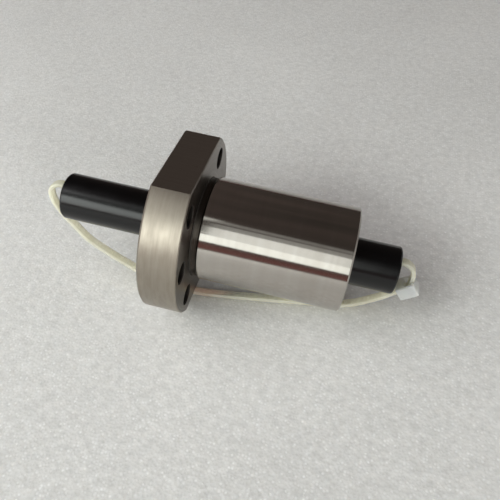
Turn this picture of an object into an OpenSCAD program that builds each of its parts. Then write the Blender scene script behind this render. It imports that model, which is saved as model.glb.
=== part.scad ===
// Flanged ball screw nut, single, internal recirculation, on its transport arbor.
// The X axis is the screw axis and points from the flange to the barrel end. The flats of the flange face
// up and down. The origin is on the axis, in the face of the flange that seats on the machine.

/* [Nut body] */
// Ground diameter of the barrel
barrel_d = 28; // [26.5:0.1:30]
// Diameter of the flange over its round sides
flange_d = 48; // [46:0.5:56]
// Thickness of the flange
flange_t = 10; // [9:0.5:14]
// Distance across the two flats of the flange
flats_w = 40; // [36:0.5:46]
// Length of the barrel beyond the flange
barrel_len = 40; // [39.5:0.1:41]
// Bevel on the turned edges of the flange
flange_bevel = 0.5; // [0.2:0.1:1]
// Bevel on the open end of the barrel
barrel_bevel = 0.4; // [0.3:0.1:1.2]
// Width of the grinding undercut at the root of the barrel
undercut_w = 2.2; // [2.1:0.1:3]
// Depth of that undercut below the ground diameter
undercut_depth = 0.5; // [0.2:0.05:0.8]

/* [Flange holes] */
// Diameter of the bolt circle
bolt_circle_d = 38; // [37:0.1:40]
// Diameter of the plain bolt holes
bolt_hole_d = 5.5; // [4.5:0.1:5.8]
// Bevel at the mouths of the bolt holes
hole_bevel = 0.25; // [0.1:0.05:0.5]

/* [Oil port] */
// Core diameter of the tapped oil port in the lower flat
oil_tap_d = 5; // [4:0.1:5.5]
// Depth of the tapped port
oil_tap_depth = 8; // [6:0.5:9]
// Diameter of the channel from the port to the ball chamber
oil_channel_d = 3; // [2:0.1:3.5]

/* [Ball tracks] */
// Travel of the nut for one turn of the screw
lead = 5; // [4.8:0.1:5.2]
// Diameter of a ball
ball_d = 3.175; // [3:0.005:3.175]
// Diameter of the helix on which the ball centres run
pitch_d = 16.5; // [16.4:0.05:16.7]
// Bore of the nut between the tracks
land_d = 16.9; // [16.7:0.05:17.2]
// Radius of the track groove
track_r = 1.68; // [1.66:0.01:1.75]
// Balls in one circuit
balls_per_circuit = 16; // [12:1:16]
// Place of the first circuit along the axis
first_circuit_x = 8; // [7.8:0.1:8.4]

/* [Deflectors] */
// Width of the round-ended insert
deflector_w = 7; // [6.6:0.1:7.4]
// Distance between the centres of its two round ends
deflector_span = 7.5; // [7:0.1:8]
// How far the balls are lifted over the screw's land
ball_lift = 1.75; // [1.5:0.05:1.9]
// Half of the angle over which the balls cross back
cross_half_angle = 32; // [30:1:34]

/* [Wipers] */
// Outer diameter of a wiper ring
wiper_d = 21.6; // [20.5:0.1:22.5]
// Thickness of a wiper ring
wiper_t = 2.9; // [2.4:0.1:3]
// Bore of a wiper ring, which clears the screw's land
wiper_bore_d = 15.8; // [15.6:0.1:16]
// Width of the lug that keeps a wiper from turning
lug_w = 2.4; // [1.8:0.1:3]

/* [Transport arbor] */
// Outer diameter of the arbor
arbor_d = 12.7; // [12:0.05:12.8]
// Bore of the arbor
arbor_bore_d = 9; // [8.8:0.1:9.6]
// End of the arbor on the flange side, from the origin
arbor_start_x = -38.5; // [-39:0.1:-36]
// End of the arbor on the barrel side, from the origin
arbor_end_x = 52.6; // [50:0.1:52.8]
// Bevel on the ends of the arbor
arbor_bevel = 0.5; // [0.2:0.1:0.8]

/* [Cable tie] */
// Width of the strap
strap_w = 2.5; // [2:0.1:2.6]
// Thickness of the strap
strap_t = 1.1; // [0.9:0.1:1.1]
// Width of the head
tie_head_w = 5; // [4.5:0.1:5.4]
// Length of the head along the strap
tie_head_len = 5.2; // [4.8:0.1:5.6]
// Height of the head across the strap
tie_head_h = 3.8; // [3.4:0.1:4]

/* [Hidden] */

barrel_r = barrel_d / 2;
flange_r = flange_d / 2;
pitch_r = pitch_d / 2;
land_r = land_d / 2;
// angles of the six holes, from +Y towards +Z: two on the flats' centre line and four at 45 degrees to it
bolt_angles = [0, 45, 135, 180, 225, 315];
// running gap between an insert and its pocket
seat_gap = 0.03;
// the inserts lie in two rows, below the nut and behind it, and both rows start on the same helix
row_angles = [270, 0, 270, 0];
circuit_x = [for (k = [0 : 3]) first_circuit_x + (k < 2 ? 0 : 3 * lead) + (k % 2) * 1.25 * lead];
// facets of a track: steps in one turn with and without balls, and points across the groove
turn_steps = 32;
idle_steps = 24;
groove_points = 8;
steel = [0.60, 0.59, 0.57];
dark_steel = [0.34, 0.33, 0.32];
ball_steel = [0.80, 0.80, 0.81];
black_plastic = [0.06, 0.06, 0.07];
white_plastic = [0.88, 0.87, 0.83];
nylon = [0.86, 0.83, 0.70];

// Solid of revolution about the X axis, from a profile of [x, r] points
module turned(profile) {
    rotate([0, 90, 0]) rotate_extrude($fn = 128) polygon([for (p = profile) [p[1], p[0]]]);
}

// Cylinder along X between two places
module bar_x(r, x0, x1) {
    translate([x0, 0, 0]) rotate([0, 90, 0]) cylinder(r = r, h = x1 - x0, $fn = 96);
}

// Solid swept through a list of equal closed rings of points
module swept(rings) {
    n = len(rings);
    m = len(rings[0]);
    sides = [for (k = [0 : n - 2], i = [0 : m - 1]) let (j = (i + 1) % m)
        [k * m + i, k * m + j, (k + 1) * m + j, (k + 1) * m + i]];
    first = [for (i = [m - 1 : -1 : 0]) i];
    last = [for (i = [0 : m - 1]) (n - 1) * m + i];
    polyhedron([for (ring = rings) each ring], concat(sides, [first, last]), convexity = 6);
}

// Place of a ball centre in a circuit, as [x, radius], at an angle from the middle of the crossing.
// Beyond the crossing the path is the screw's helix. Within it the ball is lifted and led back one turn.
function smooth(t) = t * t * (3 - 2 * t);
function helix_x(angle) = lead * (angle / 360 - 0.5);
function crossing(angle) =
    let (t = (angle + cross_half_angle) / (2 * cross_half_angle), low = helix_x(cross_half_angle))
    [-low + 2 * low * smooth(t), pitch_r + ball_lift * pow(sin(180 * t), 2)];
function circuit_point(angle) =
    angle < cross_half_angle ? crossing(angle)
    : angle > 360 - cross_half_angle ? crossing(angle - 360)
    : [helix_x(angle), pitch_r];

// The same place for any angle on either side of the crossing
function path_point(angle) = circuit_point(angle < -cross_half_angle ? angle + 360 : angle);
// Direction of the path, as its axial and radial shares of one
function path_way(angle) =
    let (a = path_point(angle - 1), b = path_point(angle + 1), d = b - a)
    d / norm([d[0], d[1], b[1] * PI / 90]);

// Ring of points round the groove, in the plane through the axis at an angle: half a circle with straight
// sides down to the bore. It is wider along the path's lean, so that the groove stays round to a ball that
// runs obliquely through the plane.
function ring_at(centre, way, angle, r, top) =
    [for (i = [0 : top + 1])
        let (
            a = -90 + 180 * min(max(i - 1, 0), top - 1) / (top - 1),
            reach = r / sqrt(1 - pow(sin(a) * way[0] + cos(a) * way[1], 2)),
            q = i % (top + 1) == 0 ? pitch_r - 1.2 : centre[1] + reach * cos(a)
        )
        [centre[0] + reach * sin(a), q * cos(angle), q * sin(angle)]];
function groove_ring(angle, r) = ring_at(path_point(angle), path_way(angle), angle, r, groove_points);

// Groove of one circuit, from inside its pocket round to the pocket again
module circuit_groove() {
    start = cross_half_angle - 8;
    steps = ceil((360 - 2 * start) * turn_steps / 360);
    swept([for (k = [0 : steps]) groove_ring(start + (360 - 2 * start) * k / steps, track_r)]);
}

// Groove of the thread where no balls run, between two angles of a circuit's helix
module idle_groove(from, to) {
    steps = ceil((to - from) * idle_steps / 360);
    way = [lead, 0] / norm([lead, 2 * PI * pitch_r]);
    swept([for (k = [0 : steps]) let (a = from + (to - from) * k / steps)
        ring_at([helix_x(a), pitch_r], way, a, track_r, groove_points - 1)]);
}

// Moves children to a circuit, with +Y pointing out through its insert
module at_circuit(k) {
    translate([circuit_x[k], 0, 0]) rotate([row_angles[k], 0, 0]) children();
}

// Round-ended prism of an insert or its pocket, leaning along the crossing
module insert_prism(gap, r0, r1) {
    lean = atan2(2 * -helix_x(cross_half_angle), 2 * pitch_r * sin(cross_half_angle));
    translate([0, r0, 0]) rotate([-90, 0, 0]) rotate(90 - lean) linear_extrude(r1 - r0) {
        for (side = [-1, 1]) translate([side * deflector_span / 2, 0]) circle(d = deflector_w + 2 * gap, $fn = 48);
        square([deflector_span, deflector_w + 2 * gap], center = true);
    }
}

// Flange and barrel as turned, before the flats, holes and tracks
module turned_blank() {
    fillet = 0.4;
    floor_r = barrel_r - undercut_depth;
    turned(concat(
        [[-flange_t, 0], [-flange_t, flange_r - flange_bevel], [-flange_t + flange_bevel, flange_r],
         [-flange_bevel / 2, flange_r], [0, flange_r - flange_bevel / 2]],
        [for (a = [90 : -18 : 0]) [fillet - fillet * sin(a), floor_r + fillet - fillet * cos(a)]],
        [[undercut_w - undercut_depth, floor_r], [undercut_w, barrel_r],
         [barrel_len - barrel_bevel, barrel_r], [barrel_len, barrel_r - barrel_bevel], [barrel_len, 0]]
    ));
}

// Everything beyond one flat of the flange, with a small bevel on the flat's two long edges
module flat_cut() {
    bevel = flange_bevel / 2;
    reach = flange_r + 2;
    rotate([90, 0, 0]) linear_extrude(2 * reach, center = true)
        polygon([
            [-flange_t - 1, reach], [-flange_t - 1, flats_w / 2 - bevel], [-flange_t, flats_w / 2 - bevel],
            [-flange_t + bevel, flats_w / 2], [-bevel, flats_w / 2], [0, flats_w / 2 - bevel],
            [0.001, flats_w / 2 - bevel], [0.001, reach]
        ]);
}

// Plain bolt hole through the flange, bevelled at both mouths
module bolt_hole() {
    bar_x(bolt_hole_d / 2, -flange_t - 1, 1);
    r = bolt_hole_d / 2;
    for (turn = [0, 180]) translate([-flange_t / 2, 0, 0]) rotate([0, turn, 0])
        translate([flange_t / 2 - hole_bevel, 0, 0]) rotate([0, 90, 0])
            cylinder(r1 = r, r2 = r + 2 * hole_bevel, h = 2 * hole_bevel, $fn = 48);
}

// Recess for a wiper at the origin, opening towards -X, with a notch for the wiper's lug
module wiper_recess() {
    bar_x(wiper_d / 2 + seat_gap, -1, wiper_t + 0.3);
    translate([-1, -lug_w / 2 - seat_gap, 0]) cube([wiper_t + 1.3, lug_w + 2 * seat_gap, wiper_d / 2 + 0.9]);
}

// Tapped port in the lower flat, and the channel on to the ball chamber
module oil_port() {
    translate([-flange_t / 2, 0, -flats_w / 2]) {
        translate([0, 0, -1]) cylinder(d = oil_tap_d, h = oil_tap_depth + 1, $fn = 48);
        translate([0, 0, -0.01]) cylinder(d1 = oil_tap_d + 1, d2 = oil_tap_d, h = 0.5, $fn = 48);
        cylinder(d = oil_channel_d, h = flats_w / 2 - pitch_r + 1, $fn = 32);
    }
}

module nut_body() color(steel) difference() {
    turned_blank();
    for (side = [0, 1]) mirror([0, 0, side]) flat_cut();
    for (a = bolt_angles) rotate([a, 0, 0]) translate([0, bolt_circle_d / 2, 0]) bolt_hole();
    bar_x(land_r, -flange_t - 1, barrel_len + 1);
    translate([-flange_t, 0, 0]) wiper_recess();
    translate([barrel_len, 0, 0]) rotate([0, 180, 0]) wiper_recess();
    oil_port();
    for (k = [0 : 3]) at_circuit(k) {
        insert_prism(seat_gap, land_r - 3.5, barrel_r + 1);
        circuit_groove();
    }
    // the thread goes on between the circuits, and beyond the first and the last of them
    for (k = [0, 2]) at_circuit(k) idle_groove(346, 464);
    at_circuit(1) idle_groove(346, 644);
    at_circuit(3) idle_groove(346, 560);
    at_circuit(0) idle_groove(-560, 14);
}

// Insert that lifts the balls over the screw's land and leads them back one turn
module deflector(k) color(dark_steel) at_circuit(k) difference() {
    intersection() {
        insert_prism(0, land_r - 3.5, barrel_r);
        bar_x(barrel_r, -barrel_r, barrel_r);
    }
    bar_x(land_r, -barrel_r, barrel_r);
    reach = cross_half_angle + 24;
    steps = 28;
    swept([for (i = [0 : steps]) groove_ring(-reach + 2 * reach * i / steps, track_r)]);
}

// One closed train of loose balls
module ball_circuit(k) color(ball_steel) at_circuit(k)
    for (i = [0 : balls_per_circuit - 1]) {
        a = (i + 0.5) * 360 / balls_per_circuit;
        p = circuit_point(a);
        translate([p[0], p[1] * cos(a), p[1] * sin(a)]) sphere(d = ball_d, $fn = 32);
    }

// Ring with a lip that fills the screw's track, at the origin and seated towards +X. The lip lies on the
// nut's helix, so it starts at the angle that the helix has there.
module wiper(start_angle) {
    lip_r = track_r - 0.18;
    difference() {
        union() {
            bar_x(wiper_d / 2, 0.15, 0.15 + wiper_t);
            translate([0.15, -lug_w / 2, 0]) cube([wiper_t, lug_w, wiper_d / 2 + 0.8]);
        }
        bar_x(wiper_bore_d / 2, -1, wiper_t + 2);
        translate([-0.5, 0, 0]) rotate([0, 90, 0])
            cylinder(r1 = wiper_bore_d / 2 + 1.25, r2 = wiper_bore_d / 2, h = 1.25, $fn = 96);
    }
    intersection() {
        turned([[0.75, pitch_r - lip_r - 1], [0.75, wiper_bore_d / 2 + 0.9], [0.15 + wiper_t, wiper_bore_d / 2 + 0.9],
            [0.15 + wiper_t, pitch_r - lip_r - 1]]);
        rotate([start_angle, 0, 0]) swept([for (a = [-150 : 15 : 390])
            [for (i = [0 : 6]) let (b = 90 + 30 * i, q = pitch_r + lip_r * cos(b))
                [lead * a / 360 + lip_r * sin(b), q * cos(a), q * sin(a)]]]);
    }
}

module front_wiper() color(white_plastic) translate([-flange_t, 0, 0])
    wiper(row_angles[0] - 360 * (flange_t + circuit_x[0]) / lead + 180);
module rear_wiper() color(white_plastic) translate([barrel_len, 0, 0]) rotate([0, 180, 0])
    wiper(360 * (circuit_x[3] - barrel_len) / lead - row_angles[3] - 180);

// Hollow arbor that keeps the balls in the nut
module transport_arbor() color(black_plastic)
    turned([
        [arbor_start_x, arbor_bore_d / 2 + 0.3], [arbor_start_x, arbor_d / 2 - arbor_bevel],
        [arbor_start_x + arbor_bevel / 3, arbor_d / 2 - arbor_bevel / 3], [arbor_start_x + arbor_bevel, arbor_d / 2],
        [arbor_end_x - arbor_bevel, arbor_d / 2], [arbor_end_x - arbor_bevel / 3, arbor_d / 2 - arbor_bevel / 3],
        [arbor_end_x, arbor_d / 2 - arbor_bevel], [arbor_end_x, arbor_bore_d / 2 + 0.3],
        [arbor_end_x - 0.3, arbor_bore_d / 2], [arbor_start_x + 0.3, arbor_bore_d / 2]
    ]);

// Middle line of the strap: from the head under the barrel and the flange, up round the left end of the
// arbor, back through the arbor's bore, and down through the head to the cut end
strap_route = [
    [55.4, -0.6, -5.4], [53.5, -0.7, -7.1], [51.4, -0.9, -9.0], [48.8, -1.0, -11.1], [45.8, -1.2, -13.2],
    [42.8, -1.5, -14.7], [39.2, -1.9, -15.6], [32, -2.6, -16.4], [23, -3.4, -17.6], [13.5, -4.0, -19.1],
    [5.5, -4.3, -20.4], [0, -4.3, -21.1], [-5, -4.1, -21.4], [-10.5, -3.6, -21.2], [-16, -2.9, -20.3],
    [-22, -2.1, -18.6], [-28, -1.7, -16.1], [-33.2, -1.4, -13.3], [-37, -1.0, -9.9], [-40.4, -0.8, -6.3],
    [-43, -0.5, -2.4], [-43.4, -0.3, 1.3], [-41.3, -0.1, 3.3], [-38, 0, 3.1], [-32, 0, 2.7], [-20, 0, 2.5],
    [0, 0, 2.5], [20, 0, 2.5], [40, 0, 2.6], [48, 0, 2.9], [52.4, 0, 3.3], [54.9, -0.1, 3.1],
    [56.6, -0.2, 1.4], [57.1, -0.3, -1.2], [56.8, -0.5, -4.4], [56.2, -0.6, -7.6]
];

// Catmull-Rom point between points i and i + 1 of a route
function along(route, i, t) =
    let (n = len(route), a = route[max(i - 1, 0)], b = route[i], c = route[i + 1], d = route[min(i + 2, n - 1)])
    0.5 * (2 * b + (c - a) * t + (2 * a - 5 * b + 4 * c - d) * t * t + (3 * b - a - 3 * c + d) * t * t * t);
function unit(v) = v / norm(v);

module strap() {
    steps = 3;
    path = [for (i = [0 : len(strap_route) - 2], k = [0 : steps - 1]) along(strap_route, i, k / steps)];
    line = concat(path, [strap_route[len(strap_route) - 1]]);
    last = len(line) - 1;
    swept([for (i = [0 : last])
        let (
            ahead = unit(line[min(i + 1, last)] - line[max(i - 1, 0)]),
            flat = unit(cross(ahead, cross([0, 1, 0], ahead))),
            up = cross(ahead, flat),
            w = strap_w / 2,
            t = strap_t / 2
        )
        [line[i] - w * flat + t * up, line[i] + w * flat + t * up,
         line[i] + w * flat - t * up, line[i] - w * flat - t * up]]);
}

module tie_head() {
    round_r = 0.7;
    translate([56.75, -0.5, -4.5]) rotate([0, -40, 0]) rotate([90, 0, 0])
        linear_extrude(tie_head_w, center = true) {
            square([tie_head_len - 2 * round_r, tie_head_h], center = true);
            square([tie_head_len, tie_head_h - 2 * round_r], center = true);
            for (x = [-1, 1], y = [-1, 1])
                translate([x * (tie_head_len / 2 - round_r), y * (tie_head_h / 2 - round_r)])
                    circle(r = round_r, $fn = 24);
        }
}

module cable_tie() color(nylon) {
    strap();
    tie_head();
}

nut_body();
deflector(0);  // deflector_1
deflector(1);  // deflector_2
deflector(2);  // deflector_3
deflector(3);  // deflector_4
ball_circuit(0);  // ball_circuit_1
ball_circuit(1);  // ball_circuit_2
ball_circuit(2);  // ball_circuit_3
ball_circuit(3);  // ball_circuit_4
front_wiper();
rear_wiper();
transport_arbor();
cable_tie();
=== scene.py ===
import math
import bmesh
import bpy
from mathutils import Matrix, Vector


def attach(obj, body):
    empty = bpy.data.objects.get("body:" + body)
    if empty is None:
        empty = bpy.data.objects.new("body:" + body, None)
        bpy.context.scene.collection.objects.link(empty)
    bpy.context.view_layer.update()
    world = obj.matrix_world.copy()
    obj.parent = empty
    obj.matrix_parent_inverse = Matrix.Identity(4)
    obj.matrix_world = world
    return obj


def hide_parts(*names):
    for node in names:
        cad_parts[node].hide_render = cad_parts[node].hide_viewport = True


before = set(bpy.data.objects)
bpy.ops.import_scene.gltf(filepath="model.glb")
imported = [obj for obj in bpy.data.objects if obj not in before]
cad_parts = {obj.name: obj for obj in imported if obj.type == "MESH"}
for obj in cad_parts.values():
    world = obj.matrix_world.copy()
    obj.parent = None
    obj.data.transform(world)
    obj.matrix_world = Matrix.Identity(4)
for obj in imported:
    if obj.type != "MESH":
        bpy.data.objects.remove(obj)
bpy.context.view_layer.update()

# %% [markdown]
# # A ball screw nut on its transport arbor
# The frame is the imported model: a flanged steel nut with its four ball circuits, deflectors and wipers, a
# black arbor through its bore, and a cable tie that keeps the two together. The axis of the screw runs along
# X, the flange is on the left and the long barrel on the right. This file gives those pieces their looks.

MM = 0.001

# %% [markdown]
# ## The camera
# The photograph looks down on the nut from in front, a little to the right of the middle of the barrel. Its
# place was found by fitting the outlines of the flange, the barrel and both ends of the arbor. A lens of
# about 40 mm on a 36 mm wide sensor gives the same perspective.

# %% Camera
SENSOR_MM, LENS_MM = 36, 39.737
NEAREST_M, FARTHEST_M = 0.005, 20
eye = Vector((27.51, -111.27, 96.889)) * MM
forward = Vector((-0.09243, 0.7354, -0.6713)).normalized()
up_hint = Vector((-0.22542, 0.64123, 0.7335))
right = forward.cross(up_hint).normalized()
up = right.cross(forward)

camera = bpy.data.objects.new("camera", bpy.data.cameras.new("camera"))
bpy.context.scene.collection.objects.link(camera)
camera.data.sensor_width = SENSOR_MM
camera.data.lens = LENS_MM
camera.data.clip_start = NEAREST_M
camera.data.clip_end = FARTHEST_M
turn = Matrix((right, up, -forward)).transposed().to_4x4()
camera.matrix_world = Matrix.Translation(eye) @ turn
bpy.context.scene.camera = camera
print("camera", round(eye.length * 1000), "mm from the flange's face")

# %% [markdown]
# ## Small helpers
# A colour is written as the hex value that an image editor shows, and turned to the linear value that the
# shader works in. A node is added with its settings and links in one call, so that each material below reads
# as a list of what happens to the surface. A mesh that bmesh has finished becomes an object in one call too.

# %% Helpers
def linear(hex_colour):
    """Linear red, green, blue and alpha of an sRGB hex colour."""
    channels = [int(hex_colour[i:i + 2], 16) / 255 for i in (1, 3, 5)]
    return [c / 12.92 if c <= 0.04045 else ((c + 0.055) / 1.055) ** 2.4 for c in channels] + [1.0]


def add(tree, kind, settings=None, **inputs):
    """A new node. settings are its own properties, inputs are values or (node, output) links.
    An input goes by its name, or by its number as in _0 where several have the same name."""
    node = tree.nodes.new(kind)
    for name, value in (settings or {}).items():
        setattr(node, name, value)
    for name, value in inputs.items():
        numbered = name[0] == "_"
        socket = node.inputs[int(name[1:]) if numbered else name.replace("_", " ")]
        if isinstance(value, tuple) and isinstance(value[0], bpy.types.Node):
            tree.links.new(value[0].outputs[value[1]], socket)
        else:
            socket.default_value = value
    return node


def new_material(name):
    """An empty material, the tree to add to and its output node."""
    material = bpy.data.materials.new(name)
    material.use_nodes = True
    material.node_tree.nodes.clear()
    output = material.node_tree.nodes.new("ShaderNodeOutputMaterial")
    return material, material.node_tree, output


def object_of(bm, name):
    """An object in the scene with the finished mesh of a bmesh, which is freed."""
    mesh = bpy.data.meshes.new(name)
    bm.to_mesh(mesh)
    bm.free()
    made = bpy.data.objects.new(name, mesh)
    bpy.context.scene.collection.objects.link(made)
    return made


print("hex #808080 is", round(linear("#808080")[0], 3), "for the shader")

# %% [markdown]
# ## The foam sheet under the nut
# The nut lies on a sheet of pale packing foam. It rests on the edge of the flange's lower flat and on the
# strap that runs under it, so in the nut's own frame the floor leans a little. One large plane gives that.
# Three rest points fix the plane, so no angle has to be guessed.

# %% Floor
FLOOR_REACH_M = 1.6
strap_under_flange = Vector((-3, -4.1, -21.97)) * MM
edge_of_flat = Vector((-3, 13.27, -20.02)) * MM
strap_under_barrel = Vector((40, -1.9, -16.2)) * MM
to_edge = edge_of_flat - strap_under_flange
to_barrel = strap_under_barrel - strap_under_flange
floor_normal = to_edge.cross(to_barrel).normalized()
if floor_normal.z < 0:
    floor_normal.negate()
bm = bmesh.new()
bmesh.ops.create_grid(bm, x_segments=2, y_segments=2, size=FLOOR_REACH_M)
lean = Vector((0, 0, 1)).rotation_difference(floor_normal).to_matrix().to_4x4()
bmesh.ops.transform(bm, matrix=Matrix.Translation(strap_under_flange) @ lean, verts=bm.verts)
floor = object_of(bm, "foam_sheet")
print("floor leans by", round(math.degrees(floor_normal.angle(Vector((0, 0, 1)))), 1), "degrees")

# %% [markdown]
# ## The look of the foam
# The sheet is closed-cell polyethylene: a matt, faintly uneven skin over cells of about 0.8 mm, some of
# which catch the light. A Voronoi texture has that pattern, and the distance in it gives the dents. The light
# that those cells catch is a painted highlight: the base colour turns white in the middles of the cells that
# the random colour picks. Light that enters such foam comes out a centimetre away, which softens the
# shadows. From below the sheet is clear, so that it never hides the nut.

# %% Foam material
foam, tree, output = new_material("polyethylene foam, pale grey")
place = add(tree, "ShaderNodeTexCoord")
cells = add(tree, "ShaderNodeTexVoronoi", {"feature": "F1"}, Vector=(place, "Object"),
            Scale=1250.0)  # 0.8 mm
mottle = add(tree, "ShaderNodeTexNoise", Vector=(place, "Object"),
             Scale=520.0, Detail=3.0, Roughness=0.6)  # 2 mm
broad = add(tree, "ShaderNodeTexNoise", Vector=(place, "Object"),
            Scale=14.0, Detail=2.0)  # 70 mm
grain = add(tree, "ShaderNodeMapRange", Value=(mottle, "Fac"), From_Min=0.3, From_Max=0.7)
skin = add(tree, "ShaderNodeMix", {"data_type": "RGBA"}, _0=(grain, "Result"),
           _6=linear("#d6d5d3"), _7=linear("#e8e7e5"))
shade = add(tree, "ShaderNodeMapRange", Value=(broad, "Fac"), From_Min=0.3, From_Max=0.7,
            To_Min=0.92, To_Max=1.0)
drift = add(tree, "ShaderNodeMix", {"data_type": "RGBA", "blend_type": "MULTIPLY"}, _0=1.0,
            _6=(skin, 2), _7=(shade, "Result"))
# painted highlight: the base colour turns white in the middles of the cells that the random colour picks
pick = add(tree, "ShaderNodeSeparateColor", Color=(cells, "Color"))
bright = add(tree, "ShaderNodeMapRange", Value=(pick, "Red"), From_Min=0.45, From_Max=1.0,
             To_Max=0.75)
painted_glint_core = add(tree, "ShaderNodeMapRange", Value=(cells, "Distance"), From_Min=0.0, From_Max=0.55,
           To_Min=1.0, To_Max=0.0)
painted_glint = add(tree, "ShaderNodeMath", {"operation": "MULTIPLY"}, _0=(bright, "Result"), _1=(painted_glint_core, "Result"))
colour = add(tree, "ShaderNodeMix", {"data_type": "RGBA"}, _0=(painted_glint, "Value"), _6=(drift, 2),
             _7=linear("#ffffff"))
dents = add(tree, "ShaderNodeBump", Strength=0.5, Distance=0.3 * MM, Height=(cells, "Distance"))
surface = add(tree, "ShaderNodeBsdfPrincipled", Base_Color=(colour, 2), Roughness=0.72,
              Subsurface_Weight=0.8, Subsurface_Scale=0.012, Subsurface_Radius=(1.0, 0.95, 0.9),
              Normal=(dents, "Normal"))
clear = add(tree, "ShaderNodeBsdfTransparent")
side = add(tree, "ShaderNodeNewGeometry")
two_sided = add(tree, "ShaderNodeMixShader", _0=(side, "Backfacing"), _1=(surface, "BSDF"),
                _2=(clear, "BSDF"))
tree.links.new(two_sided.outputs[0], output.inputs["Surface"])
floor.data.materials.append(foam)
print(foam.name, len(tree.nodes), "nodes")

# %% [markdown]
# ## The light
# The barrel is ground so finely that it mirrors the room: a bright window low in front, a dark ceiling and
# the foam. One large lamp can't have the window's uneven brightness, so it is made of several soft lamps, a
# low bright row and dimmer ones above, which the barrel shows as one bright band. A cylinder along X mirrors
# to the camera only what lies near the plane across it. So the lamps that light the foam stand well to the
# left and right, and the upper half of the barrel stays dark as in the photograph.

# %% Lamps
TARGET = Vector((0.012, 0, 0))
DAYLIGHT = "#f9fffb"


def soft_lamp(name, azimuth, elevation, distance, width, height, radiance, tint="#ffffff"):
    """A rectangular lamp that faces the nut. Azimuth 0 is in front (-Y) and 90 on the right (+X)."""
    a, e = math.radians(azimuth), math.radians(elevation)
    away = Vector((math.sin(a) * math.cos(e), -math.cos(a) * math.cos(e), math.sin(e)))
    data = bpy.data.lights.new(name, "AREA")
    data.shape = "RECTANGLE"
    data.size = width
    data.size_y = height
    data.energy = math.pi * width * height * radiance
    data.color = linear(tint)[:3]
    lamp = bpy.data.objects.new(name, data)
    lamp.location = TARGET + away * distance
    lamp.rotation_mode = "QUATERNION"
    lamp.rotation_quaternion = away.to_track_quat("Z", "Y")
    lamp.visible_camera = False
    bpy.context.scene.collection.objects.link(lamp)
    print(name, round(data.energy, 2), "W")


# name, azimuth, elevation, width, height, radiance
window = [("low part", -4, 17, 0.34, 0.205, 1.95),
          ("sky", -1.5, 33.4, 0.26, 0.262, 1.42),
          ("upper sky", -1.5, 47, 0.26, 0.12, 0.4),
          ("top", -5, 56, 0.4, 0.08, 0.25),
          ("left part", -26, 15, 0.3, 0.42, 4.6),
          ("left high part", -31, 50, 0.2, 0.28, 0.55),
          ("left bright part", -50, 22, 0.4, 0.24, 8.0)]
for part_name, azimuth, elevation, width, height, radiance in window:
    soft_lamp("window, " + part_name, azimuth, elevation, 0.8, width, height, radiance, DAYLIGHT)
soft_lamp("left fill", -72, 37, 0.8, 0.6, 0.5, 3.0)
soft_lamp("right front fill", 44, 20, 0.8, 0.4, 0.3, 5.6)
soft_lamp("right back fill", 115, 38, 0.9, 0.5, 0.4, 0.7)

# %% [markdown]
# ## The room
# The world is the rest of the room, for the steel to mirror: a reddish tone near the ground, which is the
# thin band in the lower half of the barrel, and a dim, uneven ceiling. The camera itself never looks at the
# ceiling in the photograph. In other views it would look out over the edge of the foam, so camera rays get a
# plain pale backdrop there. Glossy rays see that backdrop below the level of the foam, as if the sheet went
# on, and the dim room above it, because a pale one would take the dark half of the barrel away.

# %% World
world = bpy.data.worlds.new("dim studio")
world.use_nodes = True
tree = world.node_tree
place = add(tree, "ShaderNodeTexCoord")
part = add(tree, "ShaderNodeSeparateXYZ", Vector=(place, "Generated"))
level = add(tree, "ShaderNodeMapRange", Value=(part, "Z"), From_Min=0.0, From_Max=0.2)
uneven = add(tree, "ShaderNodeTexNoise", Vector=(place, "Generated"), Scale=2.2, Detail=3.0)
spread = add(tree, "ShaderNodeMapRange", Value=(uneven, "Fac"), From_Min=0.35, From_Max=0.65)
ceiling = add(tree, "ShaderNodeMix", {"data_type": "RGBA"}, _0=(spread, "Result"),
              _6=linear("#423d39"), _7=linear("#544b47"))
room = add(tree, "ShaderNodeMix", {"data_type": "RGBA"}, _0=(level, "Result"),
           _6=linear("#7c5550"), _7=(ceiling, 2))
ray = add(tree, "ShaderNodeLightPath")
rise = add(tree, "ShaderNodeVectorMath", {"operation": "DOT_PRODUCT"}, _0=(place, "Generated"),
           _1=floor_normal)
low = add(tree, "ShaderNodeMath", {"operation": "LESS_THAN"}, _0=(rise, "Value"), _1=0.0)
mirrored = add(tree, "ShaderNodeMath", {"operation": "MULTIPLY"}, _0=(ray, "Is Glossy Ray"),
               _1=(low, "Value"))
shown = add(tree, "ShaderNodeMath", {"operation": "MAXIMUM"}, _0=(ray, "Is Camera Ray"),
            _1=(mirrored, "Value"))
backdrop = add(tree, "ShaderNodeMix", {"data_type": "RGBA"}, _0=(shown, "Value"), _6=(room, 2),
               _7=linear("#d4d3d1"))
tree.links.new(backdrop.outputs[2], tree.nodes["Background"].inputs["Color"])
bpy.context.scene.world = world
bpy.context.scene.view_settings.view_transform = "Standard"
print("world", world.name, len(tree.nodes), "nodes")
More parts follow.
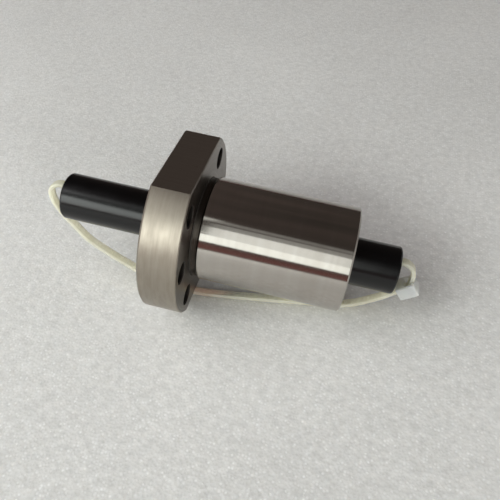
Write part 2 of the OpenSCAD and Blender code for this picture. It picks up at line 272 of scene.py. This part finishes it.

# %% [markdown]
# ## Steel finishes
# The nut is one piece of through-hardened bearing steel, but each surface was made in its own way, and that
# is what the eye tells apart. The flange's rim and faces are turned, and keep the fine furrows of the tool.
# The flats are milled. The barrel is ground after hardening and is almost a mirror. Bare steel is a metal of
# a warm grey, lighter the finer it is finished. The holes, the port's thread, and the fillet and undercut at
# the barrel's root get a much darker grey: that is painted shade, for the shadow in these recesses. So one
# function makes each finish from its colours, its roughness, and the spacing, depth and direction of its
# furrows. The furrows of a lathe are rings round the axis: on a cylinder they follow X, and on a face they
# follow the distance from the axis. Real furrows are 0.1 mm apart. They are drawn at 0.25 to 0.4 mm here, the
# finest that shows in the picture. Grinding leaves none, only waves a few millimetres long that are far too
# shallow to feel.

# %% Steel finish function
def steel_finish(name, pale, dark, roughness, furrow_mm, depth_mm, along, lines=0.6, clouds=160.0):
    """Bare steel with tool furrows. along is 'x', 'y' or 'radius', and lines is the furrows' share of
    the shading, beside clouds that lie along the axis."""
    material, tree, output = new_material(name)
    place = add(tree, "ShaderNodeTexCoord")
    if along == "radius":
        flat = add(tree, "ShaderNodeVectorMath", {"operation": "MULTIPLY"}, _0=(place, "Object"),
                   _1=(0, 1, 1))
        reach = add(tree, "ShaderNodeVectorMath", {"operation": "LENGTH"}, _0=(flat, "Vector"))
        run = (reach, "Value")
    else:
        part = add(tree, "ShaderNodeSeparateXYZ", Vector=(place, "Object"))
        run = (part, along.upper())
    line = add(tree, "ShaderNodeCombineXYZ", X=run)
    furrows = add(tree, "ShaderNodeTexNoise", Vector=(line, "Vector"),
                  Scale=1000 / furrow_mm / 2, Detail=2.0, Roughness=0.7)
    stretch = add(tree, "ShaderNodeMapping", Vector=(place, "Object"), Scale=(1.0, 0.25, 0.25))
    cloud = add(tree, "ShaderNodeTexNoise", Vector=(stretch, "Vector"),
                Scale=clouds, Detail=4.0, Roughness=0.55)
    rest = add(tree, "ShaderNodeMath", {"operation": "MULTIPLY"}, _0=(cloud, "Fac"), _1=1 - lines)
    both = add(tree, "ShaderNodeMath", {"operation": "MULTIPLY_ADD"}, _0=(furrows, "Fac"), _1=lines,
               _2=(rest, "Value"))
    shade = add(tree, "ShaderNodeMapRange", Value=(both, "Value"), From_Min=0.35, From_Max=0.65)
    colour = add(tree, "ShaderNodeMix", {"data_type": "RGBA"}, _0=(shade, "Result"),
                 _6=linear(dark), _7=linear(pale))
    rough = add(tree, "ShaderNodeMapRange", Value=(both, "Value"), From_Min=0.3, From_Max=0.7,
                To_Min=roughness * 1.15, To_Max=roughness * 0.85)
    bump = add(tree, "ShaderNodeBump", Strength=1.0, Distance=depth_mm * MM, Height=(furrows, "Fac"))
    surface = add(tree, "ShaderNodeBsdfPrincipled", Base_Color=(colour, 2), Metallic=1.0,
                  Roughness=(rough, "Result"), Normal=(bump, "Normal"))
    tree.links.new(surface.outputs["BSDF"], output.inputs["Surface"])
    return material


ground = steel_finish("bearing steel, ground", "#b6b1ab", "#aea8a1",
                      roughness=0.105, furrow_mm=1.5, depth_mm=0.0006, along="x")
turned_rim = steel_finish("bearing steel, turned rim", "#a49c90", "#948c81",
                          roughness=0.38, furrow_mm=0.25, depth_mm=0.0009, along="x",
                          lines=0.3, clouds=700.0)
turned_face = steel_finish("bearing steel, turned face", "#87817a", "#756f68",
                           roughness=0.3, furrow_mm=0.4, depth_mm=0.0012, along="radius")
milled = steel_finish("bearing steel, milled flat", "#a7a199", "#9c968e",
                      roughness=0.3, furrow_mm=0.4, depth_mm=0.0008, along="y")
# painted shade: near-black steel for the shadow inside the holes, the port's thread and the fillet
drilled_painted_shade = steel_finish("bearing steel, drilled", "#4b4743", "#34312e",
                       roughness=0.5, furrow_mm=0.3, depth_mm=0.004, along="x")
# painted shade: dark steel for the shadow in the undercut at the barrel's root
relief_painted_shade = steel_finish("bearing steel, turned relief", "#59534d", "#46413c",
                      roughness=0.3, furrow_mm=0.3, depth_mm=0.003, along="x")
track = steel_finish("bearing steel, ground track", "#b5b1aa", "#a39e97",
                     roughness=0.2, furrow_mm=0.3, depth_mm=0.001, along="x")
finishes = [ground, turned_rim, turned_face, milled, drilled_painted_shade, relief_painted_shade, track]
print(len(finishes), "steel finishes")

# %% [markdown]
# ## The nut's body
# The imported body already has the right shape, but its triangles are loose and flat, and a ground barrel
# needs a perfectly round reflection. So a copy of it is merged, and corners sharper than 30 degrees stay
# crisp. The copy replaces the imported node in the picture. The same function serves the pieces after it.

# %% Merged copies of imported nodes
WELD = 0.002 * MM


def merged_copy(node, name, crisp=30.0):
    """A welded, smooth-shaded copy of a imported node, which takes its place."""
    bm = bmesh.new()
    bm.from_mesh(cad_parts[node].data)
    before = len(bm.verts)
    bmesh.ops.remove_doubles(bm, verts=bm.verts, dist=WELD)
    for face in bm.faces:
        face.smooth = True
    for edge in bm.edges:
        edge.smooth = len(edge.link_faces) == 2 and math.degrees(edge.calc_face_angle(0)) < crisp
    piece = object_of(bm, name)
    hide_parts(node)
    mesh = piece.data
    print(name, before, "->", len(mesh.vertices), "vertices,", len(mesh.polygons), "faces")
    return piece


body = merged_copy("nut_body", "flanged_body")
for material in finishes:
    body.data.materials.append(material)

# %% [markdown]
# Each face gets the finish of the tool that made it. The tool follows from where the face lies and which way
# it looks: the flats look up and down, the turned faces along the axis, and the rest goes by its distance
# from the axis. That keeps working when a size in the source changes a little.

# %% Finish of each face
FLAT, BACK = 20, -10                # mm: the flats, and the back of the flange
RIM, ROOT, BORE = 23.2, 13, 12      # radii in mm: just inside the rim, of the barrel's root, round the bore
FILLET_END, UNDERCUT_END = 0.45, 2.25   # mm from the flange: just past the fillet and the undercut
NEAR = 0.01


def finish_of(centre, normal):
    """Which tool made the face with this centre (mm) and normal."""
    radius = math.hypot(centre.y, centre.z)
    outward = (normal.y * centre.y + normal.z * centre.z) / max(radius, 1e-6)
    if abs(normal.z) > 0.99 and abs(abs(centre.z) - FLAT) < 0.05:
        return milled
    if abs(normal.x) > 0.9:
        return turned_face
    if BACK - NEAR < centre.x < NEAR and radius > RIM and outward > 0.6:
        return turned_rim
    if BACK + NEAR < centre.x < NEAR and radius > BORE:
        # painted shade: the holes through the flange get the near-black finish
        return milled if abs(centre.z) > FLAT - 0.5 else drilled_painted_shade
    # painted shade: the fillet and the undercut at the barrel's root get the two dark finishes
    if centre.x < UNDERCUT_END and radius > ROOT:
        return relief_painted_shade if centre.x > FILLET_END else drilled_painted_shade
    if radius > ROOT - 0.1 and outward > 0.5:
        return ground
    if radius < BORE and abs(outward) > 0.1:
        return track
    # painted shade too: the faces that nothing above takes get the undercut's dark finish
    return relief_painted_shade


counts = {}
for polygon in body.data.polygons:
    chosen = finish_of(polygon.center * 1000, polygon.normal)
    polygon.material_index = finishes.index(chosen)
    counts[chosen.name] = counts.get(chosen.name, 0) + 1
print(counts)

# %% [markdown]
# Shading that is only smoothed between facets still bends a reflection. On the barrel and the rim each
# corner's normal is set to point exactly away from the axis, so that both mirror like true cylinders.

# %% Exact normals for the round surfaces
round_slots = (finishes.index(ground), finishes.index(turned_rim))
normals = [Vector(c.vector) for c in body.data.corner_normals]
exact = 0
for polygon in body.data.polygons:
    if polygon.material_index not in round_slots or abs(polygon.normal.x) > 0.05:
        continue
    for loop in polygon.loop_indices:
        at = body.data.vertices[body.data.loops[loop].vertex_index].co
        away = Vector((0, at.y, at.z)).normalized()
        if away.dot(polygon.normal) > 0.9:
            normals[loop] = away
            exact += 1
body.data.normals_split_custom_set(normals)
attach(body, "nut")
print("exact corner normals", exact)

# %% [markdown]
# ## Deflectors, balls and wipers
# Each circuit of balls is led back over the screw's land by a deflector, a small insert pressed from steel
# powder and hardened, matt and a little darker than the body, with pores of about 0.2 mm. The balls are
# lapped bearing steel. The wipers are white acetal rings, turned, that keep dirt out and lie against the
# screw's track.

# %% Sintered steel
sintered, tree, output = new_material("sintered steel, hardened")
place = add(tree, "ShaderNodeTexCoord")
pores = add(tree, "ShaderNodeTexNoise", Vector=(place, "Object"),
            Scale=4500.0, Detail=3.0, Roughness=0.7)  # 0.2 mm
stain = add(tree, "ShaderNodeTexNoise", Vector=(place, "Object"), Scale=350.0, Detail=3.0)  # 3 mm
tone = add(tree, "ShaderNodeMapRange", Value=(stain, "Fac"), From_Min=0.3, From_Max=0.7)
colour = add(tree, "ShaderNodeMix", {"data_type": "RGBA"}, _0=(tone, "Result"),
             _6=linear("#6e6b67"), _7=linear("#8a8680"))
bump = add(tree, "ShaderNodeBump", Strength=0.4, Distance=0.04 * MM, Height=(pores, "Fac"))
surface = add(tree, "ShaderNodeBsdfPrincipled", Base_Color=(colour, 2), Metallic=1.0, Roughness=0.38,
              Normal=(bump, "Normal"))
tree.links.new(surface.outputs["BSDF"], output.inputs["Surface"])
print(sintered.name, len(tree.nodes), "nodes")

# %% Lapped balls
chrome_steel, tree, output = new_material("chrome bearing steel, lapped")
place = add(tree, "ShaderNodeTexCoord")
haze = add(tree, "ShaderNodeTexNoise", Vector=(place, "Object"), Scale=900.0, Detail=4.0)  # 1 mm
rough = add(tree, "ShaderNodeMapRange", Value=(haze, "Fac"), To_Min=0.04, To_Max=0.1)
surface = add(tree, "ShaderNodeBsdfPrincipled", Base_Color=linear("#d4d3d2"), Metallic=1.0,
              Roughness=(rough, "Result"))
tree.links.new(surface.outputs["BSDF"], output.inputs["Surface"])
print(chrome_steel.name, len(tree.nodes), "nodes")

# %% Turned acetal
acetal, tree, output = new_material("acetal, white, turned")
place = add(tree, "ShaderNodeTexCoord")
flat = add(tree, "ShaderNodeVectorMath", {"operation": "MULTIPLY"}, _0=(place, "Object"), _1=(0, 1, 1))
reach = add(tree, "ShaderNodeVectorMath", {"operation": "LENGTH"}, _0=(flat, "Vector"))
line = add(tree, "ShaderNodeCombineXYZ", X=(reach, "Value"))
rings = add(tree, "ShaderNodeTexNoise", Vector=(line, "Vector"), Scale=3500.0, Detail=2.0)  # 0.3 mm
cloud = add(tree, "ShaderNodeTexNoise", Vector=(place, "Object"), Scale=300.0, Detail=3.0)  # 3 mm
colour = add(tree, "ShaderNodeMix", {"data_type": "RGBA"}, _0=(cloud, "Fac"),
             _6=linear("#e4e1d6"), _7=linear("#efede5"))
bump = add(tree, "ShaderNodeBump", Strength=0.5, Distance=0.02 * MM, Height=(rings, "Fac"))
surface = add(tree, "ShaderNodeBsdfPrincipled", Base_Color=(colour, 2), Roughness=0.38, IOR=1.48,
              Subsurface_Weight=0.12, Subsurface_Scale=0.0006, Normal=(bump, "Normal"))
tree.links.new(surface.outputs["BSDF"], output.inputs["Surface"])
print(acetal.name, len(tree.nodes), "nodes")

# %% [markdown]
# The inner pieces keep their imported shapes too, merged and smoothed as the body is. A ball has no corner at
# all, so only an angle that never comes up there, 80 degrees, counts as crisp.

# %% Smooth copies of the inner pieces
for number in range(1, 5):
    insert = merged_copy(f"deflector_{number}", f"insert_{number}")
    insert.data.materials.append(sintered)
    balls = merged_copy(f"ball_circuit_{number}", f"ball_train_{number}", crisp=80)
    balls.data.materials.append(chrome_steel)
    for piece in (insert, balls):
        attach(piece, "nut")
for node in ("front_wiper", "rear_wiper"):
    ring = merged_copy(node, "wiper_ring_" + node.split("_")[0])
    ring.data.materials.append(acetal)
    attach(ring, "nut")

# %% [markdown]
# ## The arbor
# A ball screw nut is shipped on an arbor, a tube as thick as the screw's core, so that the balls can't fall
# out. It is extruded black ABS, cut to length and bevelled. An extruded tube has faint lines along it, so
# its noise is stretched along X. It has a satin skin, and a few dull patches where it rubbed on other parts.

# %% Arbor
abs_black, tree, output = new_material("ABS, black, extruded")
place = add(tree, "ShaderNodeTexCoord")
stretched = add(tree, "ShaderNodeMapping", Vector=(place, "Object"), Scale=(0.03, 1.0, 1.0))
die_lines = add(tree, "ShaderNodeTexNoise", Vector=(stretched, "Vector"),
                Scale=2600.0, Detail=3.0, Roughness=0.6)  # 0.4 mm apart
skin = add(tree, "ShaderNodeTexNoise", Vector=(place, "Object"),
           Scale=2600.0, Detail=3.0, Roughness=0.6)  # grains of 0.4 mm
rubbed = add(tree, "ShaderNodeTexNoise", Vector=(place, "Object"),
             Scale=210.0, Detail=5.0, Roughness=0.7)  # patches of 5 mm
worn = add(tree, "ShaderNodeMapRange", Value=(rubbed, "Fac"), From_Min=0.55, From_Max=0.8,
           To_Min=0.0, To_Max=0.3)
colour = add(tree, "ShaderNodeMix", {"data_type": "RGBA"}, _0=(worn, "Result"),
             _6=linear("#020203"), _7=linear("#08080a"))
rough = add(tree, "ShaderNodeMapRange", Value=(rubbed, "Fac"), From_Min=0.3, From_Max=0.7,
            To_Min=0.2, To_Max=0.27)
fine = add(tree, "ShaderNodeBump", Strength=0.6, Distance=0.012 * MM, Height=(skin, "Fac"))
bump = add(tree, "ShaderNodeBump", Strength=0.5, Distance=0.008 * MM, Height=(die_lines, "Fac"),
           Normal=(fine, "Normal"))
surface = add(tree, "ShaderNodeBsdfPrincipled", Base_Color=(colour, 2), Roughness=(rough, "Result"),
              IOR=1.45, Normal=(bump, "Normal"))
tree.links.new(surface.outputs["BSDF"], output.inputs["Surface"])

arbor = merged_copy("transport_arbor", "arbor_tube", crisp=25)
arbor.data.materials.append(abs_black)
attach(arbor, "arbor")

# %% [markdown]
# ## The cable tie
# The tie is moulded in one piece from natural nylon: a strap with a ladder of fine teeth between two plain
# rails, and a head with a window that the strap is pulled through. It could be drawn along a curve, but the
# teeth have to face the inside of the loop all the way. So the strap is made flat, as it leaves the mould,
# by extruding its section step by step, and is then laid along its route: under the barrel and the flange,
# round the left end of the arbor, back through the arbor's bore and down through the head. The route repeats
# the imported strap's middle line, in millimetres.

# %% Route of the strap
SPAN_STEPS = 24
route = [
    (55.4, -0.6, -5.4), (53.5, -0.7, -7.1), (51.4, -0.9, -9.0), (48.8, -1.0, -11.1), (45.8, -1.2, -13.2),
    (42.8, -1.5, -14.7), (39.2, -1.9, -15.6), (32, -2.6, -16.4), (23, -3.4, -17.6), (13.5, -4.0, -19.1),
    (5.5, -4.3, -20.4), (0, -4.3, -21.1), (-5, -4.1, -21.4), (-10.5, -3.6, -21.2), (-16, -2.9, -20.3),
    (-22, -2.1, -18.6), (-28, -1.7, -16.1), (-33.2, -1.4, -13.3), (-37, -1.0, -9.9), (-40.4, -0.8, -6.3),
    (-43, -0.5, -2.4), (-43.4, -0.3, 1.3), (-41.3, -0.1, 3.3), (-38, 0, 3.1), (-32, 0, 2.7), (-20, 0, 2.5),
    (0, 0, 2.5), (20, 0, 2.5), (40, 0, 2.6), (48, 0, 2.9), (52.4, 0, 3.3), (54.9, -0.1, 3.1),
    (56.6, -0.2, 1.4), (57.1, -0.3, -1.2), (56.8, -0.5, -4.4), (56.2, -0.6, -7.6)]
route = [Vector(p) for p in route]


def along_route(i, t):
    """Catmull-Rom point between points i and i + 1."""
    a, b, c, d = (route[min(max(k, 0), len(route) - 1)] for k in (i - 1, i, i + 1, i + 2))
    bend = 2 * a - 5 * b + 4 * c - d
    return 0.5 * (2 * b + (c - a) * t + bend * t * t + (3 * b - a - 3 * c + d) * t ** 3)


fine_line = [along_route(i, k / SPAN_STEPS) for i in range(len(route) - 1) for k in range(SPAN_STEPS)]
fine_line.append(route[-1])
reached = [0.0]
for a, b in zip(fine_line, fine_line[1:]):
    reached.append(reached[-1] + (b - a).length)
strap_length = reached[-1]
print("strap", round(strap_length, 1), "mm long")

# %% Flat strap with its ladder of teeth
strap_w, strap_t = 2.5, 1.1
rail, corner = 0.45, 0.22
groove_side, groove_depth = 0.06, 0.1
tooth = 1.0
tooth_shares = (0.10, 0.45, 0.45)   # of the pitch: the steep side, then the long slope in two steps
tooth_floors = (0.04, 0.17, 0.1)    # mm that the band between the rails lies in after each of them
half_w, half_t = strap_w / 2, strap_t / 2
section = [
    (-half_w, -half_t + corner), (-half_w, half_t - corner), (-half_w + corner, half_t),
    (half_w - corner, half_t), (half_w, half_t - corner), (half_w, -half_t + corner),
    (half_w - corner, -half_t), (half_w - rail, -half_t),
    (half_w - rail - groove_side, -half_t + groove_depth),
    (-half_w + rail + groove_side, -half_t + groove_depth),
    (-half_w + rail, -half_t), (-half_w + corner, -half_t)]
bm = bmesh.new()
ring = [bm.verts.new((0, y, z)) for y, z in section]
first = bm.faces.new(ring)
teeth = int(strap_length / tooth)
edge_loop = list(first.edges)
for number in range(teeth * len(tooth_shares)):
    stage = number % len(tooth_shares)
    made = bmesh.ops.extrude_edge_only(bm, edges=edge_loop)["geom"]
    edge_loop = [g for g in made if isinstance(g, bmesh.types.BMEdge)]
    new_verts = [g for g in made if isinstance(g, bmesh.types.BMVert)]
    step = tooth_shares[stage] * strap_length / teeth
    bmesh.ops.translate(bm, vec=(step, 0, 0), verts=new_verts)
    for v in new_verts:
        if abs(v.co.y) < half_w - rail and v.co.z < 0:
            v.co.z = -half_t + tooth_floors[stage]
bmesh.ops.contextual_create(bm, geom=edge_loop)
print("strap", teeth, "teeth,", len(bm.faces), "faces")

# %% [markdown]
# Each ring of the flat strap is then moved to its own distance along the route and turned to it. Its width
# stays level with Y, as a tie lies that isn't twisted. Edges sharper than 35 degrees stay crisp, which are
# those of the teeth.

# %% Lay the strap along its route
STRAP_CRISP = 35
SIGHT = 3    # fine steps that the direction looks ahead and back


def frame_at(distance):
    """Place and directions of the strap at a distance from its start."""
    distance = min(max(distance, 0), strap_length)
    low = 0
    high = len(reached) - 1
    while high - low > 1:
        middle = (low + high) // 2
        low, high = (middle, high) if reached[middle] <= distance else (low, middle)
    t = (distance - reached[low]) / (reached[high] - reached[low])
    at = fine_line[low].lerp(fine_line[high], t)
    ahead = fine_line[min(high + SIGHT, len(fine_line) - 1)] - fine_line[max(low - SIGHT, 0)]
    ahead.normalize()
    across = ahead.cross(Vector((0, 1, 0)).cross(ahead)).normalized()
    return at, across, ahead.cross(across)


placed = {}
for v in bm.verts:
    key = round(v.co.x, 5)
    if key not in placed:
        placed[key] = frame_at(key)
    at, across, out = placed[key]
    v.co = (at + across * v.co.y + out * v.co.z) * MM
bmesh.ops.recalc_face_normals(bm, faces=bm.faces)
for face in bm.faces:
    face.smooth = True
for edge in bm.edges:
    edge.smooth = len(edge.link_faces) == 2 and math.degrees(edge.calc_face_angle(0)) < STRAP_CRISP
strap = object_of(bm, "tie_strap")
print("strap laid,", len(placed), "rings")

# %% [markdown]
# The head is a small block with rounded corners. Its window is made by cutting the block with four planes,
# taking out the two middle faces and bridging the holes, and every edge then gets a soft moulded radius.

# %% Head of the tie
block = (5.2, 5.0, 3.8)
window_x, window_y = (-0.2, 1.5), (-1.4, 1.4)
window_middle = Vector((sum(window_x) / 2, sum(window_y) / 2))
moulded_r = 0.38
bm = bmesh.new()
bmesh.ops.create_cube(bm, size=1.0)
bmesh.ops.scale(bm, vec=block, verts=bm.verts)
for axis, offsets in enumerate((window_x, window_y)):
    normal = Vector((0, 0, 0))
    normal[axis] = 1
    for offset in offsets:
        bmesh.ops.bisect_plane(bm, geom=bm.verts[:] + bm.edges[:] + bm.faces[:],
                               plane_co=normal * offset, plane_no=normal)
openings = [f for f in bm.faces if abs(f.normal.z) > 0.9
            and (f.calc_center_median().xy - window_middle).length < 0.1]
rims = [e for f in openings for e in f.edges]
bmesh.ops.delete(bm, geom=openings, context="FACES_ONLY")
bmesh.ops.bridge_loops(bm, edges=rims)
sharp = [e for e in bm.edges if len(e.link_faces) == 2 and e.calc_face_angle(0) > 1.0]
bmesh.ops.bevel(bm, geom=sharp, offset=moulded_r, segments=4, profile=0.5, affect="EDGES", material=-1,
                clamp_overlap=True)
seat = Matrix.Translation((56.75, -0.5, -4.5)) @ Matrix.Rotation(math.radians(-40), 4, "Y")
bmesh.ops.transform(bm, matrix=seat, verts=bm.verts)
bmesh.ops.scale(bm, vec=(MM, MM, MM), verts=bm.verts)
bmesh.ops.recalc_face_normals(bm, faces=bm.faces)
for face in bm.faces:
    face.smooth = True
head = object_of(bm, "tie_head")
print("head", len(head.data.polygons), "faces")

# %% [markdown]
# Natural nylon 66 is milky: light enters it, travels on for millimetres and comes out again. A strap 1 mm
# thick is therefore never quite in shade, and takes on the brightness of the foam behind it. Subsurface
# scattering gives that, with a mean way of a centimetre and the blue lost first. The head has the same nylon
# but a darker, greyer colour: that is painted shade.

# %% Natural nylon
def natural_nylon(name, dark, pale):
    """Moulded nylon that light passes into, with clouds of 4 mm and a ripple of 0.7 mm."""
    material, tree, output = new_material(name)
    place = add(tree, "ShaderNodeTexCoord")
    cloud = add(tree, "ShaderNodeTexNoise", Vector=(place, "Object"), Scale=260.0, Detail=3.0)
    ripple = add(tree, "ShaderNodeTexNoise", Vector=(place, "Object"), Scale=1500.0, Detail=2.0)
    colour = add(tree, "ShaderNodeMix", {"data_type": "RGBA"}, _0=(cloud, "Fac"),
                 _6=linear(dark), _7=linear(pale))
    bump = add(tree, "ShaderNodeBump", Strength=0.4, Distance=0.03 * MM, Height=(ripple, "Fac"))
    surface = add(tree, "ShaderNodeBsdfPrincipled", Base_Color=(colour, 2), Roughness=0.5, IOR=1.53,
                  Subsurface_Weight=1.0, Subsurface_Scale=0.01, Subsurface_Radius=(1.0, 0.95, 0.8),
                  Normal=(bump, "Normal"))
    tree.links.new(surface.outputs["BSDF"], output.inputs["Surface"])
    print(name, len(tree.nodes), "nodes")
    return material


strap.data.materials.append(natural_nylon("nylon 66, natural, moulded thin", "#ded6a6", "#e9e2bb"))
# painted shade: the head's colours are darker and greyer than the strap's
head.data.materials.append(natural_nylon("nylon 66, natural, head, painted shade", "#bcbfba", "#cacdc8"))
for piece in (strap, head):
    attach(piece, "tie")
    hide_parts("cable_tie")

# %% [markdown]
# ## The thread of the oil port
# The lower flat has a port for a lubrication nipple, tapped M6. A thread is a ridge that climbs along a
# hole. A small triangle is spun round the port's axis and moved along it at the same time, one millimetre
# for each turn.

# %% Thread
outer_r, inner_r, half_base = 2.52, 2.24, 0.42
pitch, turns, turn_steps = 1.0, 6, 40
lowest = (-5, 0, -19.0)
bm = bmesh.new()
triangle = ((outer_r, 0, -half_base), (inner_r, 0, 0), (outer_r, 0, half_base))
corners = [bm.verts.new(c) for c in triangle]
sides = [bm.edges.new((a, b)) for a, b in zip(corners, corners[1:] + corners[:1])]
bmesh.ops.spin(bm, geom=corners + sides, cent=(0, 0, 0), axis=(0, 0, 1), dvec=(0, 0, pitch / turn_steps),
               angle=math.radians(360 * turns), steps=turn_steps * turns, use_merge=False,
               use_duplicate=False)
bmesh.ops.holes_fill(bm, edges=[e for e in bm.edges if e.is_boundary], sides=3)
bmesh.ops.translate(bm, vec=lowest, verts=bm.verts)
bmesh.ops.scale(bm, vec=(MM, MM, MM), verts=bm.verts)
bmesh.ops.recalc_face_normals(bm, faces=bm.faces)
for face in bm.faces:
    face.smooth = False
thread = object_of(bm, "oil_port_thread")
# painted shade: the thread gets the near-black finish of the holes
thread.data.materials.append(drilled_painted_shade)
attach(thread, "nut")
print("thread", len(thread.data.polygons), "faces")
